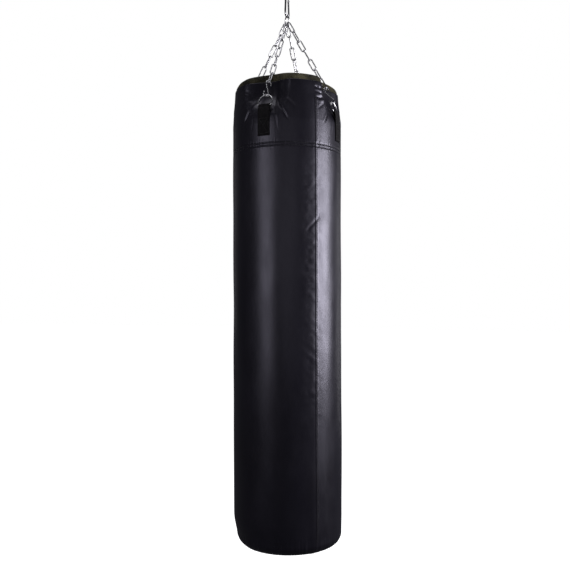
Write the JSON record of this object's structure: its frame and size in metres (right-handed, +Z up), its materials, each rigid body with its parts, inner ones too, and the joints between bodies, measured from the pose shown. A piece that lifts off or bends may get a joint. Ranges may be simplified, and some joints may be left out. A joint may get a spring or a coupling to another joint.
{
  "type": "hanging heavy bag",
  "caption": "Tall round black leather heavy bag hung from a swivel snap hook by long-link chains, S-hooks, D-rings and webbing straps.",
  "frame": {"origin": "centre of the anchor stud where it enters the ceiling face", "axes": "+Z up along the stud and the bag's axis; the front strap faces -Y"},
  "size_m": [0.3616, 0.3616, 1.884],
  "materials": {
    "leather": "satin",
    "webbing": "matte",
    "lid_textile": "matte",
    "chain_steel": "polished",
    "hook_steel": "polished",
    "fitting_steel": "satin",
    "spring_steel": "satin",
    "foam": "matte",
    "filling": "matte",
    "sand": "matte"
  },
  "bodies": {
    "anchor": {"anchor_stud": "fitting_steel"},
    "swivel": {"swivel_eye": "fitting_steel"},
    "snap_hook": {"hook_body": "fitting_steel", "gate_rivet": "fitting_steel"},
    "gate": {"hook_gate": "fitting_steel", "gate_spring": "spring_steel"},
    "bag": {"chain_ring": "chain_steel", "link_front_1": "chain_steel", "link_front_2": "chain_steel", "link_front_3": "chain_steel", "link_front_4": "chain_steel", "link_front_5": "chain_steel", "link_front_6": "chain_steel", "link_front_7": "chain_steel", "link_right_1": "chain_steel", "link_right_2": "chain_steel", "link_right_3": "chain_steel", "link_right_4": "chain_steel", "link_right_5": "chain_steel", "link_right_6": "chain_steel", "link_right_7": "chain_steel", "link_back_1": "chain_steel", "link_back_2": "chain_steel", "link_back_3": "chain_steel", "link_back_4": "chain_steel", "link_back_5": "chain_steel", "link_back_6": "chain_steel", "link_back_7": "chain_steel", "link_left_1": "chain_steel", "link_left_2": "chain_steel", "link_left_3": "chain_steel", "link_left_4": "chain_steel", "link_left_5": "chain_steel", "link_left_6": "chain_steel", "link_left_7": "chain_steel", "s_hook_front": "hook_steel", "s_hook_right": "hook_steel", "s_hook_back": "hook_steel", "s_hook_left": "hook_steel", "d_ring_front": "hook_steel", "d_ring_right": "hook_steel", "d_ring_back": "hook_steel", "d_ring_left": "hook_steel", "strap_front": "webbing", "strap_right": "webbing", "strap_back": "webbing", "strap_left": "webbing", "outer_cover": "leather", "bottom_panel": "leather", "top_lid": "lid_textile", "reinforcing_band": "leather", "foam_lining": "foam", "textile_filling": "filling", "sand_core": "sand"}
  },
  "joints": [
    {"name": "swivel_spin", "type": "hinge", "parent": "anchor", "child": "swivel", "pos_m": [0, 0, -0.014], "axis": [0, 0, 1], "continuous": true},
    {"name": "swing_side", "type": "hinge", "parent": "swivel", "child": "snap_hook", "pos_m": [0, 0, -0.051], "axis": [1, 0, 0], "range_deg": [-35, 35]},
    {"name": "gate_open", "type": "hinge", "parent": "snap_hook", "child": "gate", "pos_m": [0, 0.01075, -0.0627], "axis": [-1, 0, 0], "range_deg": [0, 22], "stiffness_Nm_per_rad": 0.05},
    {"name": "swing_front", "type": "hinge", "parent": "snap_hook", "child": "bag", "pos_m": [0, 0, -0.1177], "axis": [0, 1, 0], "range_deg": [-30, 30]}
  ]
}
